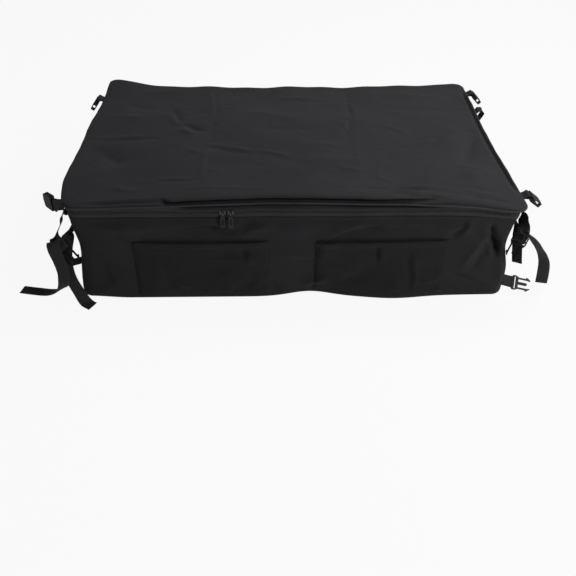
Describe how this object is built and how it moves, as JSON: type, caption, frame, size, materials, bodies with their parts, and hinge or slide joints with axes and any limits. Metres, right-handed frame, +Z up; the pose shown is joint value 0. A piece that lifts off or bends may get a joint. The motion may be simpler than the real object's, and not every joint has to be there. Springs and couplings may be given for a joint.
{
  "type": "golf cart rear seat bag",
  "caption": "Wide soft cargo bag for a golf cart's rear seat deck: a sewn cloth box with a zipped lid, patch pockets on the front, and webbing straps with side-release buckles at its corners.",
  "frame": {"origin": "the middle of the base, on the surface it stands on", "axes": "+X to the right along the front, +Y from the front to the back, +Z up"},
  "size_m": [1.1567, 0.65, 0.2471],
  "materials": {
    "bag_cloth": "matt coated oxford weave, near black",
    "binding_tape": "woven tape, near black",
    "webbing": "woven webbing, near black",
    "buckle_plastic": "moulded, satin black",
    "zip_coil": "coil, satin black",
    "slider_metal": "satin black coating"
  },
  "bodies": {
    "bag": {"front_panel": "bag_cloth", "right_end_panel": "bag_cloth", "back_panel": "bag_cloth", "left_end_panel": "bag_cloth", "base_panel": "bag_cloth", "zip_lower_tape": "binding_tape", "zip_upper_tape": "binding_tape", "zip_lower_coil": "zip_coil", "zip_upper_coil": "zip_coil", "rear_hinge_band": "bag_cloth", "lid_piping": "binding_tape", "lid_panel": "bag_cloth", "left_pocket": "bag_cloth", "right_pocket": "bag_cloth", "left_front_top_tab": "webbing", "left_front_bottom_tab": "webbing", "left_front_adjuster_buckle": "buckle_plastic", "left_front_upper_strap": "webbing", "left_front_lower_strap": "webbing", "right_front_top_tab": "webbing", "right_front_bottom_tab": "webbing", "right_front_adjuster_buckle": "buckle_plastic", "right_front_upper_strap": "webbing", "right_front_lower_strap": "webbing", "right_back_top_tab": "webbing", "right_back_bottom_tab": "webbing", "right_back_adjuster_buckle": "buckle_plastic", "right_back_upper_strap": "webbing", "right_back_lower_strap": "webbing", "left_back_top_tab": "webbing", "left_back_bottom_tab": "webbing", "left_back_adjuster_buckle": "buckle_plastic", "left_back_upper_strap": "webbing", "left_back_lower_strap": "webbing"},
    "left_slider": {"left_slider": "slider_metal"},
    "right_slider": {"right_slider": "slider_metal"},
    "left_pull": {"left_pull": "slider_metal"},
    "right_pull": {"right_pull": "slider_metal"},
    "left_front_top_buckle": {"left_front_top_female_buckle": "buckle_plastic"},
    "left_front_bottom_buckle": {"left_front_bottom_male_buckle": "buckle_plastic"},
    "right_front_top_buckle": {"right_front_top_female_buckle": "buckle_plastic"},
    "right_front_bottom_buckle": {"right_front_bottom_male_buckle": "buckle_plastic"},
    "right_back_top_buckle": {"right_back_top_female_buckle": "buckle_plastic"},
    "right_back_bottom_buckle": {"right_back_bottom_male_buckle": "buckle_plastic"},
    "left_back_top_buckle": {"left_back_top_female_buckle": "buckle_plastic"},
    "left_back_bottom_buckle": {"left_back_bottom_male_buckle": "buckle_plastic"}
  },
  "joints": [
    {"name": "left_slider_travel", "type": "slide", "parent": "bag", "child": "left_slider", "axis": [-1, 0, 0], "range_m": [0, 0.262]},
    {"name": "right_slider_travel", "type": "slide", "parent": "bag", "child": "right_slider", "axis": [1, 0, 0], "range_m": [0, 0.39]},
    {"name": "left_pull_hinge", "type": "hinge", "parent": "left_slider", "child": "left_pull", "pos_m": [-0.143, -0.3016, 0.2156], "axis": [1, 0, 0], "range_deg": [-100, 0]},
    {"name": "right_pull_hinge", "type": "hinge", "parent": "right_slider", "child": "right_pull", "pos_m": [-0.127, -0.3016, 0.2156], "axis": [1, 0, 0], "range_deg": [-100, 0]},
    {"name": "left_front_top_buckle_hinge", "type": "hinge", "parent": "bag", "child": "left_front_top_buckle", "pos_m": [-0.47129, -0.286, 0.228], "axis": [0, 0, 1], "range_deg": [-14, 130]},
    {"name": "left_front_bottom_buckle_hinge", "type": "hinge", "parent": "bag", "child": "left_front_bottom_buckle", "pos_m": [-0.47344, -0.27, 0.07277], "axis": [0, 1, 0], "range_deg": [-8, 70]},
    {"name": "right_front_top_buckle_hinge", "type": "hinge", "parent": "bag", "child": "right_front_top_buckle", "pos_m": [0.47469, -0.252, 0.22428], "axis": [0, 1, 0], "range_deg": [-76, 34]},
    {"name": "right_front_bottom_buckle_hinge", "type": "hinge", "parent": "bag", "child": "right_front_bottom_buckle", "pos_m": [0.47751, -0.283, 0.0217], "axis": [0.2001, 0.7502, 0.6302], "range_deg": [-60, 60]},
    {"name": "right_back_top_buckle_hinge", "type": "hinge", "parent": "bag", "child": "right_back_top_buckle", "pos_m": [0.46856, 0.236, 0.22941], "axis": [0, 1, 0], "range_deg": [-100, 8]},
    {"name": "right_back_bottom_buckle_hinge", "type": "hinge", "parent": "bag", "child": "right_back_bottom_buckle", "pos_m": [0.47245, 0.286, 0.0327], "axis": [0.304, 0, 0.9527], "range_deg": [-60, 60]},
    {"name": "left_back_top_buckle_hinge", "type": "hinge", "parent": "bag", "child": "left_back_top_buckle", "pos_m": [-0.47586, 0.204, 0.2329], "axis": [0, -1, 0], "range_deg": [-95, 8]},
    {"name": "left_back_bottom_buckle_hinge", "type": "hinge", "parent": "bag", "child": "left_back_bottom_buckle", "pos_m": [-0.47173, 0.286, 0.0327], "axis": [0.304, 0, -0.9527], "range_deg": [-60, 60]}
  ]
}
